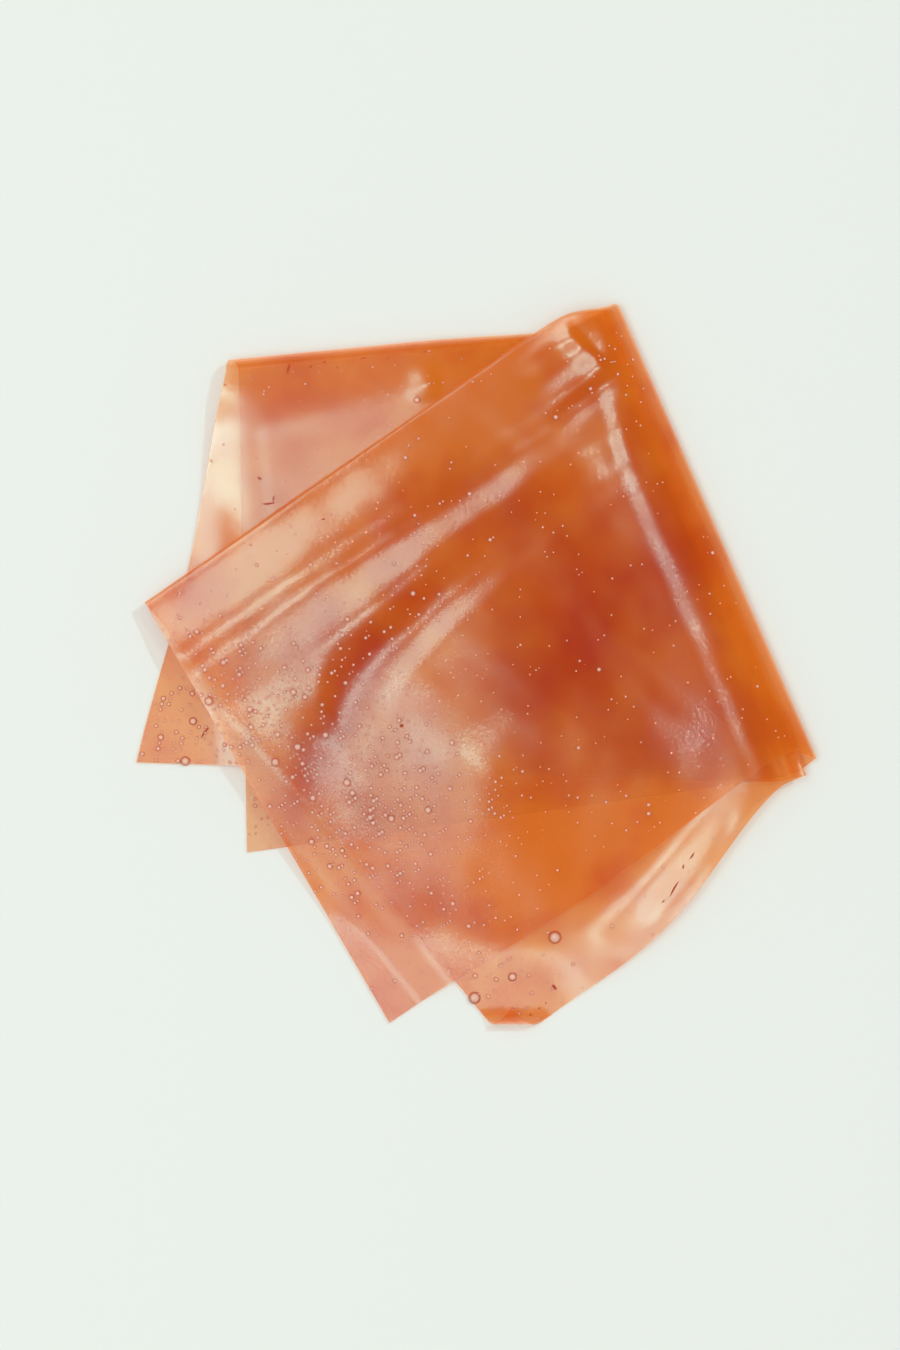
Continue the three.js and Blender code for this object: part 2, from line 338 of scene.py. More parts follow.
bottom_layer = layer_plan(
    outer_fold,
    edge(BOTTOM_CREASE_END, BOTTOM_LAYER_CORNER),
    bent_edge(FOLD_TOP, LOWER_CREASE_KNEE, BOTTOM_CREASE_END),
    bent_edge(FOLD_FOOT, BOTTOM_LAYER_KNEE, BOTTOM_LAYER_CORNER),
)


# ---- Heights of the layers ---------------------------------------------------------------------

crease_along = unit(np.subtract(UPPER_CREASE_KNEE, UPPER_CREASE_END))
crease_out = np.array((crease_along[1], -crease_along[0]))
fold_along = unit(np.subtract(FOLD_FOOT, FOLD_TOP))
fold_inward = np.array((fold_along[1], -fold_along[0]))
lower_along = np.subtract(THIRD_CREASE_END, LOWER_CREASE_KNEE)
lower_out = unit((-lower_along[1], lower_along[0]))
dart_along = unit(np.subtract(DART_END, DART_START))
dart_right = np.array((-dart_along[1], dart_along[0]))
second_end = unit(np.subtract(SECOND_LAYER_CORNER, UPPER_CREASE_END))
second_end_out = np.array((second_end[1], -second_end[0]))


def from_upper_crease(p):
    """Distances of plan points along the upper crease and out from it."""
    offset = p - UPPER_CREASE_END
    return offset @ crease_along, offset @ crease_out


def unevenness(p):
    """The upper layers' own slight waves, which dried in."""
    total = 0
    for length, depth, heading in UNEVEN_WAVES:
        across = p[..., 0] * math.cos(heading) + p[..., 1] * math.sin(heading)
        total = total + depth * np.sin(2 * np.pi * across / length + heading * UNEVEN_PHASE)
    return total


def dart_height(p):
    """A short sharp crease near the top corner, which rises slowly and falls off at once."""
    offset = p - DART_START
    along, beyond = offset @ dart_along, offset @ dart_right
    share = along / math.dist(DART_START, DART_END)
    held = fade(share, DART_GROWTH) * fade(share, DART_FADE)
    return DART_HEIGHT * held * fade(beyond, DART_CLIMB_SPAN) * fade(beyond, DART_FALL_SPAN)


def first_waves(along, out):
    """The swell beside the crease, the fall behind it and the first wave."""
    swell = fade(along, SWELL_CHANGE, SWELL_HEIGHTS) * fade(out, SWELL_SPAN)
    fall = FIRST_FALL * fade(out, FIRST_FALL_SPAN)
    widened = FIRST_WAVE_WIDENING * fade(along, WIDENING_FADE)
    start, end = FIRST_WAVE_SPAN
    climbed = smoothstep(out, start - widened, end + widened)
    height = fade(along, FIRST_WAVE_GROWTH, FIRST_WAVE_HEIGHTS)
    fading = fade(along, FIRST_WAVE_FADE, (1, FIRST_WAVE_END_SHARE))
    return swell + fall + height * fading * climbed


def second_waves(along, past_bend):
    """The fall behind the first wave, and the second wave; both bend away at the outer end."""
    narrowed = NARROWING * fade(along, NARROWING_GROWTH)
    fall_start, fall_end = SECOND_FALL_SPAN
    start_shift, end_shift = SECOND_FALL_SHIFTS
    fallen = smoothstep(
        past_bend, fall_start + start_shift * narrowed, fall_end + end_shift * narrowed
    )
    fall = fade(along, SECOND_FALL_CHANGE, SECOND_FALLS) * fallen
    grown = fade(along, SECOND_WAVE_GROWTH, SECOND_WAVE_HEIGHTS)
    climb = grown - SECOND_WAVE_LOSS * fade(along, SECOND_WAVE_FADE)
    start, end = SECOND_WAVE_SPAN
    wave = climb * smoothstep(past_bend, start + narrowed, end - narrowed)
    return (fall + wave) * fade(along, SECOND_START_GROWTH)


def middle_tilt(x, past_bend):
    """The broad slopes past the waves: up from the west, down in the middle, up in the east."""
    west = WEST_SLOPE_HEIGHT * soft_ramp(x, *WEST_SLOPE_SPAN, SLOPE_SOFTNESS)
    east = EAST_SLOPE_HEIGHT * soft_ramp(x, *EAST_SLOPE_SPAN, SLOPE_SOFTNESS)
    fall = MIDDLE_FALL * soft_ramp(x, *MIDDLE_FALL_SPAN, MIDDLE_SOFTNESS)
    return (west + east - fall) * fade(past_bend, TILT_SPAN)


def fold_ridge(out, inward):
    """The ridge beside the round fold: a broad back with one sharp line on it."""
    off_middle = (inward - BROAD_RIDGE_MIDDLE) / BROAD_RIDGE_HALF_WIDTH
    broad = BROAD_RIDGE_HEIGHT * np.exp(-(off_middle**2))
    beyond_line = inward - fade(out, RIDGE_LINE_SPAN, RIDGE_LINES)
    height = fade(out, SHARP_RIDGE_SPAN, SHARP_RIDGE_HEIGHTS)
    sides = smoothstep(beyond_line, SHARP_RIDGE_BACK, 0) * smoothstep(inward, 0, SHARP_RIDGE_FRONT)
    return (broad + height * sides) * fade(out, RIDGE_RISE_SPAN)


def corner_ripples(along, out, inward):
    """The puckers at the top corner, one behind the other out from the crease."""
    held = fade(along, RIPPLE_GROWTH) * fade(inward, RIPPLE_INWARD_SPAN) * fade(out, RIPPLE_SPAN)
    return RIPPLE_HEIGHT * np.sin((out - RIPPLE_START) / RIPPLE_LENGTH * 2 * np.pi) * held


def second_height(p):
    """The second layer climbs at each sheen streak and falls a little behind it."""
    along, out = from_upper_crease(p)
    inward = (p - FOLD_FOOT) @ fold_inward
    bend = WAVE_BEND * np.exp(-np.maximum(along - WAVE_BEND_START, 0) / WAVE_BEND_LENGTH)
    past_bend = out - bend
    crease = lerp(CREASE_END_HEIGHT, CREASE_HEIGHT, smoothstep(along, 0, CREASE_RISE_LENGTH))
    waves = first_waves(along, out) + second_waves(along, past_bend)
    tilt = middle_tilt(p[..., 0], past_bend)
    details = fold_ridge(out, inward) + corner_ripples(along, out, inward) + dart_height(p)
    slanted = out - CORNER_DROP_SLANT * along
    drop = UPPER_SLOPE * out + CORNER_DROP * fade(slanted, CORNER_DROP_SPAN)
    height = crease + waves + tilt + details + unevenness(p) - drop - LAYER_STEP
    return soft_max(height, GROUND_CLEARANCE, HEIGHT_SOFTNESS)


def top_height(p):
    beyond = (p - UPPER_CREASE_END) @ second_end_out
    return second_height(p) + LAYER_STEP * (1 - fade(beyond, END_STEP_SPAN))


def bottom_height(p):
    return np.full(p.shape[:-1], THICKNESS / 2)


def buckle_height(p):
    """The small buckle in the third layer's upper edge, steeper on its right."""
    across, along = np.moveaxis(p - BUCKLE, -1, 0)
    crest = smoothstep(across, -BUCKLE_BEFORE, 0) * smoothstep(across, BUCKLE_BEYOND, 0)
    return BUCKLE_HEIGHT * crest * smoothstep(np.abs(along), BUCKLE_HALF_LENGTH, 0)


def third_height(p):
    """The third layer stands open at its crease, falls to the ground and lies on the bottom one."""
    offset = p - LOWER_CREASE_KNEE
    share = offset @ lower_along / (lower_along @ lower_along)
    out = offset @ lower_out
    open_height = fade(share, OPENING_GROWTH, (CLOSED_HEIGHT, OPEN_HEIGHT))
    opened = fade(share, OPEN_LENGTH_CHANGE, OPEN_LENGTHS)
    falling = open_height * (1 - soft_ramp(out, opened, TOUCH_DOWN, OPEN_SOFTNESS))
    sinking = END_SINKING * fade(share, SINKING_GROWTH) * fade(out, SINKING_SPAN)
    drooping = END_DROOP * fade(share, DROOP_GROWTH) * fade(out, DROOP_SPAN)
    corner = BOTTOM_LAYER_CORNER[0] + CLIMB_SHIFT * fade(p[..., 1], CLIMB_SHIFT_SPAN)
    climbed = smoothstep(p[..., 0], corner - CLIMB_START, corner - CLIMB_END)
    lying = lerp(GROUND_CLEARANCE, THICKNESS / 2 + LAYER_STEP, climbed)
    return soft_max(falling - sinking - drooping, lying, HEIGHT_SOFTNESS) + buckle_height(p)


# ---- The folded surface ------------------------------------------------------------------------

def half_surface(upper, lower, upper_height, lower_height, waist, upper_round, lower_round):
    """One half's middle surface at (u, q): u from 1 over 0 at the round fold to -1."""

    def side(u, q, plan, height, rounding):
        round_, waist_ = lerp(*rounding, q), lerp(*waist, q)
        zero, one = np.zeros_like(u), np.ones_like(u)
        reach = np.linalg.norm(plan(one, q) - plan(zero, q), axis=-1)
        share = np.abs(u)
        turn = np.minimum(share / BEND_SHARE, 1) * np.pi / 2
        straight = np.maximum((share - BEND_SHARE) / (1 - BEND_SHARE), 0)
        inward = round_ * (1 - np.cos(turn)) + (reach - round_) * straight
        p = plan(inward / reach, q)
        z = lerp(waist_, height(p), np.sin(turn))
        return np.concatenate((p, z[..., None]), axis=-1)

    def at(u, q):
        u, q = np.broadcast_arrays(np.asarray(u, float), np.asarray(q, float))
        above = side(u, q, upper, upper_height, upper_round)
        below = side(u, q, lower, lower_height, lower_round)
        return np.where(u[..., None] >= 0, above, below)

    return at


outer_half = half_surface(
    top_layer, bottom_layer, top_height, bottom_height, OUTER_WAIST, TOP_ROUND, BOTTOM_ROUND
)
inner_sheet = half_surface(
    second_layer, third_layer, second_height, third_height, INNER_WAIST, SECOND_ROUND, THIRD_ROUND
)


def inner_half(u, q):
    """The inner half, with the second layer's free edge lifted and its corner curled up."""
    p = inner_sheet(u, q)
    upper, out = np.broadcast_to(u, p.shape[:-1]), np.broadcast_to(q, p.shape[:-1])
    lifted = fade(upper, LIFT_GROWTH) * fade(upper, LIFT_FADE)
    p[..., 2] += FREE_EDGE_LIFT * lifted * fade(out, LIFT_EDGE_SPAN)
    past = np.maximum(CURL_START - p[..., 1], 0) * (upper >= 0)
    turned = np.minimum(past, CURL_RADIUS * np.pi)
    turn = turned / CURL_RADIUS
    p[..., 1] += past + (past - turned) - CURL_RADIUS * np.sin(turn)
    p[..., 2] += CURL_RADIUS * (1 - np.cos(turn))
    return p


def crease_turn(u, angle):
    """The round turn of the first fold, from the outer half at 0 to the inner half at pi."""
    step = 1e-3
    start, end = outer_half(u, 0), inner_half(u, 0)
    middle = (start + end) / 2
    to_start = start - middle
    along = outer_half(u + step, 0) - outer_half(u - step, 0)
    outward = np.cross(along, to_start)
    outward /= np.linalg.norm(outward, axis=-1, keepdims=True)
    sheetwards = outer_half(u, step) - start
    side = np.sum(outward * sheetwards, axis=-1, keepdims=True)
    outward = np.where(side > 0, -outward, outward)
    reach = np.linalg.norm(to_start, axis=-1, keepdims=True)
    return middle + to_start * math.cos(angle) + outward * reach * math.sin(angle)


def steps(count, start, end):
    return [lerp(start, end, (i + 1) / count) for i in range(count)]


columns = np.array(
    [1.0]
    + steps(UPPER_STEPS, 1, BEND_SHARE)
    + steps(UPPER_BEND_STEPS, BEND_SHARE, 0)
    + steps(LOWER_BEND_STEPS, 0, -BEND_SHARE)
    + steps(LOWER_STEPS, -BEND_SHARE, -1)
)


def from_crease(t):
    return t * (1 - ROW_CROWDING * (1 - t))


row_q = [from_crease(t) for t in [1.0] + steps(HALF_STEPS, 1, 0)]
rows = [outer_half(columns, q) for q in row_q]
rows += [crease_turn(columns, angle) for angle in steps(CREASE_STEPS, 0, math.pi)]
rows += [inner_half(columns, from_crease(t)) for t in steps(HALF_STEPS, 0, 1)]
middle = np.array(rows)


def grid_normals(points):
    """Unit normals of a grid of points, on the side that is outside on the outer half."""
    down = np.gradient(points, axis=0)
    across = np.gradient(points, axis=1)
    normals = np.cross(down, across)
    return normals / np.linalg.norm(normals, axis=-1, keepdims=True)


def grid_quads(row_count, column_count):
    first = np.arange(row_count * column_count).reshape(row_count, column_count)
    a, b = first[:-1, :-1].ravel(), first[:-1, 1:].ravel()
    c, d = first[1:, 1:].ravel(), first[1:, :-1].ravel()
    return np.stack((a, b, c, d), axis=1)


def grid_border(row_count, column_count):
    first = np.arange(row_count * column_count).reshape(row_count, column_count)
    return np.concatenate((first[0, :-1], first[:-1, -1], first[-1, :0:-1], first[:0:-1, 0]))


# Edges that turn by more than this are shown sharp
SHARP_ANGLE = math.radians(50)


def new_object(name, vertices, faces):
    mesh = bpy.data.meshes.new(name)
    mesh.from_pydata((vertices * MM).tolist(), [], faces)
    mesh.shade_smooth()
    mesh.set_sharp_from_angle(angle=SHARP_ANGLE)
    obj = bpy.data.objects.new(name, mesh)
    bpy.context.scene.collection.objects.link(obj)
    return obj


def give_values(obj, name, values):
    attribute = obj.data.attributes.new(name, "FLOAT", "POINT")
    attribute.data.foreach_set("value", values)


def sheet_object(name, points):
    """The middle surface thickened to both sides, with its cut edges closed."""
    normals = grid_normals(points)
    row_count, column_count = points.shape[:2]
    count = row_count * column_count
    outside = (points + normals * THICKNESS / 2).reshape(-1, 3)
    inside = (points - normals * THICKNESS / 2).reshape(-1, 3)
    quads = grid_quads(row_count, column_count)
    ring = grid_border(row_count, column_count)
    onward = np.roll(ring, -1)
    rim = np.stack((ring, ring + count, onward + count, onward), axis=1)
    faces = np.concatenate((quads, quads[:, ::-1] + count, rim))
    return new_object(name, np.concatenate((outside, inside)), faces.tolist())


sheet = sheet_object("fruit_leather_sheet", middle)


def blob(p, centre, half_length, half_width, heading):
    """1 in the middle of a soft oval patch of the plan, 0 well outside it."""
    offset = p - np.array(centre)
    along = offset[..., 0] * math.cos(heading) + offset[..., 1] * math.sin(heading)
    across = offset[..., 1] * math.cos(heading) - offset[..., 0] * math.sin(heading)
    return np.exp(-((along / half_length) ** 2) - (across / half_width) ** 2)


# How much deeper or paler each patch is, its centre, half length, half width and heading. Most are
# the sheet's own tone; the rows noted below are partly or wholly painted shade or painted glow.
TONE_SHADE_AND_GLOW_PATCHES = (
    (0.7, (32.0, 12.0), 34, 15, 1.0),
    (0.7, (42.0, -18.0), 18, 11, 0.5),
    # Partly the sheet's own deep colour, partly painted shade in the dark fall before the second
    # wave
    (0.7, (-30.0, -10.0), 24, 6, 1.1),
    (0.4, (8.0, -8.0), 18, 10, 0.6),
    (-0.7, (20.0, -41.0), 20, 9, 0.6),
    # Painted faint sheen: paler along the upper crease towards the top corner
    (-0.4, (0.0, 62.0), 45, 8, 0.6),
    # Painted shade: deeper along the flat strip at the top layer's lower-left edge, which dims the
    # sheen there
    (0.45, (-24.0, -70.0), 26, 7, -1.05),
    # Painted glow: paler along the round fold, as light shining through its rounded edge
    (-0.4, (58.0, 20.0), 50, 7, -1.16),
)
EVEN_DEEPNESS = 0.15
CLOUD_DEEPNESS = 0.4
CLOUDS_PER_METRE = 40
CLOUD_ROUGHNESS = 0.6
CLOUD_LACUNARITY = 2.0
CLOUD_OCTAVES = 4


def cloud(place):
    return noise.fractal(
        place * CLOUDS_PER_METRE, CLOUD_ROUGHNESS, CLOUD_LACUNARITY, CLOUD_OCTAVES
    )


def give_tone_shade_and_glow(obj):
    """How deep the colour is at each vertex, 0 to 1, in soft clouds and a few broad patches, some
    of them painted shade and some painted glow.
    """
    clouds = np.array([cloud(vertex.co) for vertex in obj.data.vertices])
    plan = np.array([vertex.co[:2] for vertex in obj.data.vertices]) / MM
    value = EVEN_DEEPNESS + CLOUD_DEEPNESS * clouds
    for share, *patch in TONE_SHADE_AND_GLOW_PATCHES:
        value += share * blob(plan, *patch)
    give_values(obj, "tone_shade_and_glow", np.clip(value, 0, 1))


give_tone_shade_and_glow(sheet)


# ---- Bubbles and fibres ------------------------------------------------------------------------

def inside_outline(points, outline):
    """Which plan points lie inside a closed outline."""
    x, y = points[..., 0], points[..., 1]
    crossings = np.zeros(points.shape[:-1], bool)
    for (x1, y1), (x2, y2) in zip(outline, np.roll(outline, -1, axis=0)):
        if y1 != y2:
            beside = (y1 > y) != (y2 > y)
            crossings ^= beside & (x < x1 + (x2 - x1) * (y - y1) / (y2 - y1))
    return crossings


# The least square of a cell's upward share, which leaves out the steep rounding of the folds
FLATNESS = 0.8


def uncovered_cells():
    """The cells of the sheet that nothing lies over: their places, upward normals and areas."""
    normals = grid_normals(middle)
    half, above = len(row_q), columns >= 0
    outer, inner = slice(0, half), slice(len(middle) - half, len(middle))
    layers = ((outer, above), (inner, above), (inner, ~above), (outer, ~above))
    centres, upward, areas, covering = [], [], [], []
    for half_rows, side in layers:
        points, normal = middle[half_rows][:, side], normals[half_rows][:, side]
        across, down = np.diff(points, axis=1)[:-1], np.diff(points, axis=0)[:, :-1]
        place = points[:-1, :-1] + (across + down) / 2
        area = np.linalg.norm(np.cross(across, down), axis=-1)
        free = normal[:-1, :-1, 2] ** 2 > FLATNESS
        for outline in covering:
            free &= ~inside_outline(place[..., :2], outline)
        up = normal[:-1, :-1] * np.sign(normal[:-1, :-1, 2:])
        centres.append(place[free])
        upward.append(up[free])
        areas.append(area[free])
        ring = grid_border(*points.shape[:2])
        covering.append(points.reshape(-1, 3)[ring, :2])
    return np.concatenate(centres), np.concatenate(upward), np.concatenate(areas)


cell_places, cell_normals, cell_areas = uncovered_cells()


def nearest_cell(place):
    return np.argmin(np.linalg.norm(cell_places[:, :2] - np.array(place), axis=1))


def frame_on(normal, heading=0.0):
    """Two directions in the surface, the first along the heading, and the normal."""
    first = np.array((math.cos(heading), math.sin(heading), 0))
    first = unit(first - normal * (first @ normal))
    return np.array((first, np.cross(normal, first), normal))


def joined(name, shapes):
    """One object from many (vertices, faces)."""
    vertices, faces = [], []
    start = 0
    for points, polygons in shapes:
        vertices.append(points)
        faces += [tuple(start + i for i in polygon) for polygon in polygons]
        start += len(points)
    return new_object(name, np.concatenate(vertices), faces)


BUBBLE_COUNT = 1500
BUBBLE_SEED = 11
BUBBLE_RADIUS = 0.36
BUBBLE_SIZE_SPREAD = 0.32
# Bubbles are this much smaller where they are few, and larger where they crowd
BUBBLE_CROWD_SIZES = (0.7, 1.15)
BUBBLE_ANGLE = math.radians(62)
BUBBLE_SINK = 0.06
BUBBLE_SIDES = 12
# How far out each ring of a bubble lies, and how far its colour is from the painted highlight on
# top, at 0, to the painted shade round its foot, at 1, at the top and at each ring
BUBBLE_RINGS = (0.35, 0.6, 0.82, 1.0)
BUBBLE_HIGHLIGHT_TO_SHADE = (0.0, 0.0, 0.3, 1.0, 1.0)
# How many bubbles there are anywhere, beside the patches where they crowd
BUBBLE_SPREAD = 0.14
# Where small bubbles crowd: share, centre, half length, half width and heading
BUBBLE_PATCHES = (
    (1.0, (-35.0, -30.0), 45, 22, -0.9),
    (1.6, (-20.0, -28.0), 12, 12, 0.0),
    (1.6, (3.0, -29.0), 8, 5, 0.9),
    (0.9, (-45.0, -12.0), 20, 12, -0.8),
    (0.7, (-20.0, 10.0), 20, 8, 0.9),
    (1.2, (-65.0, -15.0), 14, 12, 0.0),
    (0.8, (10.0, -72.0), 12, 6, 0.6),
    (0.5, (30.0, 66.0), 10, 10, 0.0),
)
# The few large bubbles: place in the plan and radius
LARGE_BUBBLES = (
    (18.6, -63.1, 1.6),
    (8.7, -72.1, 1.1),
    (-0.2, -77.4, 1.5),
    (-19.6, -35.5, 0.95),
    (-24.6, -33.9, 0.75),
    (-72.0, -16.4, 0.8),
    (-15.9, 47.6, 0.6),
    (-1.8, 39.3, 0.65),
    (18.4, 57.0, 0.7),
    (-5.3, -55.0, 0.7),
    (-33.4, -47.2, 0.75),
    (-30.8, -43.2, 0.7),
    (-26.9, -52.6, 0.7),
    (39.1, -31.7, 0.55),
    (49.0, -15.4, 0.5),
)


def dome(place, normal, radius):
    """A round blister of the sheet's skin."""
    ball = radius / math.sin(BUBBLE_ANGLE)
    turn = np.arange(BUBBLE_SIDES) * 2 * np.pi / BUBBLE_SIDES
    points = [(0.0, 0.0, ball * (1 - math.cos(BUBBLE_ANGLE)) - BUBBLE_SINK)]
    faces = []
    for ring, share in enumerate(BUBBLE_RINGS, start=1):
        reach = radius * share
        height = math.sqrt(ball**2 - reach**2) - ball * math.cos(BUBBLE_ANGLE) - BUBBLE_SINK
        points += [(reach * math.cos(t), reach * math.sin(t), height) for t in turn]
        inner, outer = 1 + (ring - 2) * BUBBLE_SIDES, 1 + (ring - 1) * BUBBLE_SIDES
        for side in range(BUBBLE_SIDES):
            onward = (side + 1) % BUBBLE_SIDES
            if ring == 1:
                faces.append((0, outer + side, outer + onward))
            else:
                faces.append((inner + side, outer + side, outer + onward, inner + onward))
    base = place + normal * THICKNESS / 2
    return base + np.array(points) @ frame_on(normal), faces


def bubbles():
    draw = np.random.default_rng(BUBBLE_SEED)
    patches = sum(share * blob(cell_places[:, :2], *patch) for share, *patch in BUBBLE_PATCHES)
    chance = cell_areas * (BUBBLE_SPREAD + patches)
    chosen = draw.choice(len(chance), BUBBLE_COUNT, replace=False, p=chance / chance.sum())
    crowding = lerp(*BUBBLE_CROWD_SIZES, np.minimum(patches[chosen], 1))
    sizes = draw.lognormal(0, BUBBLE_SIZE_SPREAD, BUBBLE_COUNT)
    radii = BUBBLE_RADIUS * crowding * sizes
    shapes = [dome(cell_places[i], cell_normals[i], radius) for i, radius in zip(chosen, radii)]
    for *place, radius in LARGE_BUBBLES:
        cell = nearest_cell(place)
        shapes.append(dome(cell_places[cell], cell_normals[cell], radius))
    return shapes


FIBRE_SIDES = 6
FIBRE_STEPS = 7
FIBRE_TAPER = 0.85
FIBRE_FLATNESS = 0.5


def fibre(x, y, length, width, heading, bend):
    """A dark fibre that lies in the sheet's surface, thin at both ends."""
    cell = nearest_cell((x, y))
    normal = cell_normals[cell]
    t = np.linspace(-1, 1, FIBRE_STEPS)
    turn = np.arange(FIBRE_SIDES) * 2 * np.pi / FIBRE_SIDES
    reach = width / 2 * (1 - FIBRE_TAPER * t**2)[:, None]
    along = np.broadcast_to(t[:, None] * length / 2, (FIBRE_STEPS, FIBRE_SIDES))
    across = reach * np.cos(turn) + bend * (1 - t[:, None] ** 2)
    up = FIBRE_FLATNESS * reach * np.sin(turn)
    points = np.stack((along, across, up), axis=-1).reshape(-1, 3)
    quads = [tuple(quad) for quad in wrapped_quads(FIBRE_STEPS, FIBRE_SIDES)]
    first = tuple(range(FIBRE_SIDES))
    last = tuple(FIBRE_SIDES * (FIBRE_STEPS - 1) + i for i in reversed(first))
    base = cell_places[cell] + normal * THICKNESS / 2
    return base + points @ frame_on(normal, heading), [*quads, first, last]


def wrapped_quads(ring_count, sides):
    first = np.arange(ring_count * sides).reshape(ring_count, sides)
    onward = np.roll(first, -1, axis=1)
    corners = (first[1:], onward[1:], onward[:-1], first[:-1])
    return np.stack([corner.ravel() for corner in corners], axis=1)


# Place, length, width, heading and bend of each fibre
FIBRES = (
    (-42.8, 67.4, 2.6, 0.5, 1.3, 0.15),
    (-49.2, 42.4, 1.2, 0.6, 2.6, 0.1),
    (-48.4, 37.0, 2.9, 0.45, 0.1, -0.2),
    (-46.6, 38.0, 1.4, 0.45, 1.4, 0.1),
    (-62.3, -15.8, 3.0, 0.5, 0.9, 0.15),
    (45.1, -51.0, 4.2, 0.45, 1.05, 0.15),
    (49.4, -43.6, 1.9, 0.4, 1.0, -0.1),
    (47.6, -46.9, 1.0, 0.4, 1.5, 0.0),
    (42.3, -54.2, 1.0, 0.35, 0.8, 0.0),
    (-34.7, 71.2, 1.0, 0.35, 0.3, 0.0),
    (-37.5, 68.4, 0.7, 0.4, 0.9, 0.0),
    (-35.6, 67.0, 0.6, 0.35, 0.2, 0.0),
    (-31.5, 68.0, 0.6, 0.35, 2.1, 0.0),
    (-26.2, 71.8, 1.1, 0.35, 0.1, 0.0),
    (-12.0, 72.8, 0.7, 0.3, 0.4, 0.0),
    (-57.7, 64.3, 0.6, 0.3, 0.0, 0.0),
    (17.9, -74.5, 1.5, 0.8, 2.2, 0.2),
    (12.5, -80.2, 0.7, 0.4, 0.6, 0.0),
    (14.5, -79.3, 0.6, 0.35, 0.8, 0.0),
    (16.0, -78.2, 0.6, 0.35, 0.7, 0.0),
    (-17.3, -14.5, 0.9, 0.8, 0.0, 0.0),
    (-35.2, 33.2, 0.9, 0.4, 0.2, 0.0),
    (-46.5, 36.5, 0.5, 0.4, 0.2, 0.0),
    (36.8, -24.4, 0.5, 0.3, 0.2, 0.0),
)

bubble_skin = joined("fruit_leather_bubbles", bubbles())
# Each bubble's colour runs from a painted highlight on top to painted shade round its foot
bubble_highlight_to_shade = np.repeat(BUBBLE_HIGHLIGHT_TO_SHADE, [1] + [BUBBLE_SIDES] * len(BUBBLE_RINGS))
dome_count = BUBBLE_COUNT + len(LARGE_BUBBLES)
give_values(bubble_skin, "depth", np.tile(bubble_highlight_to_shade, dome_count))
fibres = joined("fruit_leather_fibres", [fibre(*row) for row in FIBRES])


# ---- Materials ---------------------------------------------------------------------------------

# What one face of the sheet scatters back and lets through, where it is thin and where deep. The
# thin colours also serve as painted glow and the deep ones as painted shade, in the patches noted
# above
SCATTER_THIN_AND_GLOW = (0.185, 0.076, 0.003)
SCATTER_DEEP_AND_SHADE = (0.155, 0.018, 0.0005)
THROUGH_THIN_AND_GLOW = (0.80, 0.61, 0.49)
THROUGH_DEEP_AND_SHADE = (0.75, 0.38, 0.26)
LEATHER_ROUGHNESS = 0.2
LEATHER_INDEX = 1.75
LEATHER_GLOSS_TINT = (0.3, 0.9, 0.95)
GRAINS_PER_METRE = 1100
GRAIN_DETAIL = 1.5
GRAIN_ROUGHNESS = 0.6
GRAIN_STRENGTH = 0.22
GRAIN_DEPTH = 0.1 * MM

# The same for a bubble's skin: a painted highlight on its top and painted shade round its foot
BUBBLE_HIGHLIGHT_SCATTER = (0.62, 0.42, 0.33)
BUBBLE_HIGHLIGHT_THROUGH = (0.30, 0.28, 0.26)
BUBBLE_SHADE_SCATTER = (0.05, 0.008, 0.002)
BUBBLE_SHADE_THROUGH = (0.70, 0.45, 0.36)
BUBBLE_ROUGHNESS = 0.15
BUBBLE_INDEX = 1.6

FIBRE_COLOUR = (0.42, 0.05, 0.01)
FIBRE_ROUGHNESS = 0.6


def plain_material(name, colour, roughness):
    """A new material, and the shader node that gives its surface."""
    material = bpy.data.materials.new(name)
    material.use_nodes = True
    shader = material.node_tree.nodes["Principled BSDF"]
    shader.inputs["Base Color"].default_value = (*colour, 1)
    shader.inputs["Roughness"].default_value = roughness
    return material, shader


def translucent_material(name, depth_name, scatter, through, roughness, index):
    """A skin that both scatters light back and lets it through, each in two colours.

    The mesh's own value depth_name mixes the two colours of each pair.
    """
    material, skin = plain_material(name, scatter[0], roughness)
    tree = material.node_tree
    skin.inputs["IOR"].default_value = index
    depth = tree.nodes.new("ShaderNodeAttribute")
    depth.attribute_name = depth_name

    def mix(colours, socket):
        mixed = tree.nodes.new("ShaderNodeMix")
        mixed.data_type = "RGBA"
        for side, colour in zip("AB", colours):
            mixed.inputs[side].default_value = (*colour, 1)
        tree.links.new(depth.outputs["Fac"], mixed.inputs["Factor"])
        tree.links.new(mixed.outputs["Result"], socket)

    mix(scatter, skin.inputs["Base Color"])
    clear = tree.nodes.new("ShaderNodeBsdfTransparent")
    mix(through, clear.inputs["Color"])
    added = tree.nodes.new("ShaderNodeAddShader")
    tree.links.new(skin.outputs["BSDF"], added.inputs[0])
    tree.links.new(clear.outputs["BSDF"], added.inputs[1])
    tree.links.new(added.outputs["Shader"], tree.nodes["Material Output"].inputs["Surface"])
    return material, skin


